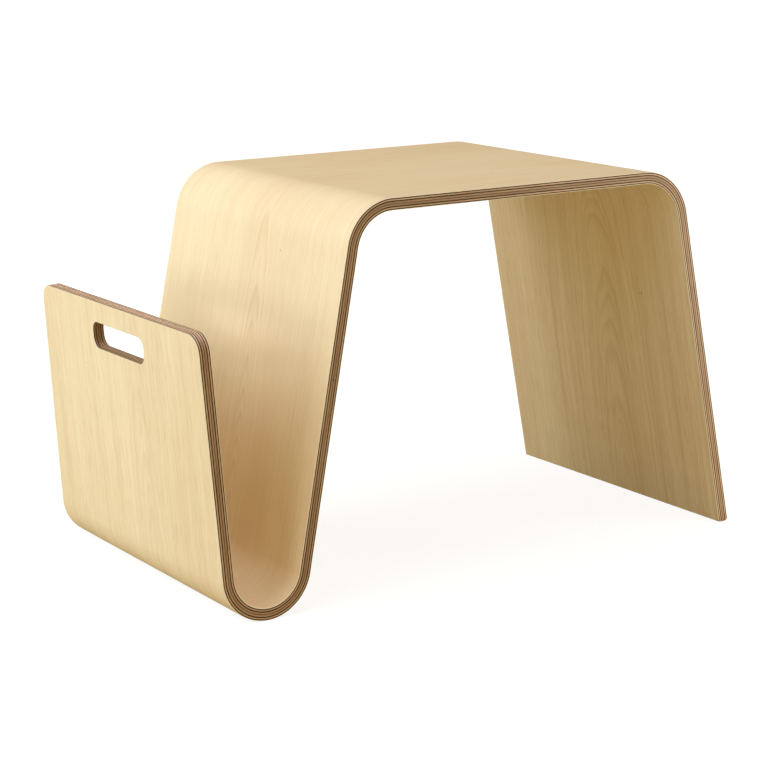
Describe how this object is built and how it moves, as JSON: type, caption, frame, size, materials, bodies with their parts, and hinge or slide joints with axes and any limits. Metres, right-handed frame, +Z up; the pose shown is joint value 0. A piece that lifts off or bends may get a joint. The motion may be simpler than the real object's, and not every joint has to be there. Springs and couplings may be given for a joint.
{
  "type": "magazine rack side table",
  "caption": "Low side table with a built-in magazine pocket, moulded from one continuous ribbon of pale bent plywood, with a hand slot in the pocket's front panel.",
  "frame": {"origin": "on the floor, under the middle of the whole length and depth", "axes": "+X along the length, from the magazine pocket to the outer leg; +Y across the depth; +Z up"},
  "size_m": [0.6688, 0.364, 0.405],
  "materials": {
    "face_veneer": "pale birch face veneer, clear satin lacquer, grain along the ribbon",
    "cross_veneer": "thin cross-grain veneer, dark end grain on the long edges, sanded and lacquered",
    "long_veneer": "long-grain inner veneer, sanded and lacquered edge",
    "core_veneer": "long-grain core veneer, sanded and lacquered edge"
  },
  "bodies": {
    "root": {"under_face_veneer": "face_veneer", "under_cross_veneer": "cross_veneer", "under_long_veneer": "long_veneer", "under_inner_cross_veneer": "cross_veneer", "under_core_veneer": "core_veneer", "centre_cross_veneer": "cross_veneer", "top_core_veneer": "core_veneer", "top_inner_cross_veneer": "cross_veneer", "top_long_veneer": "long_veneer", "top_cross_veneer": "cross_veneer", "top_face_veneer": "face_veneer"}
  },
  "joints": []
}
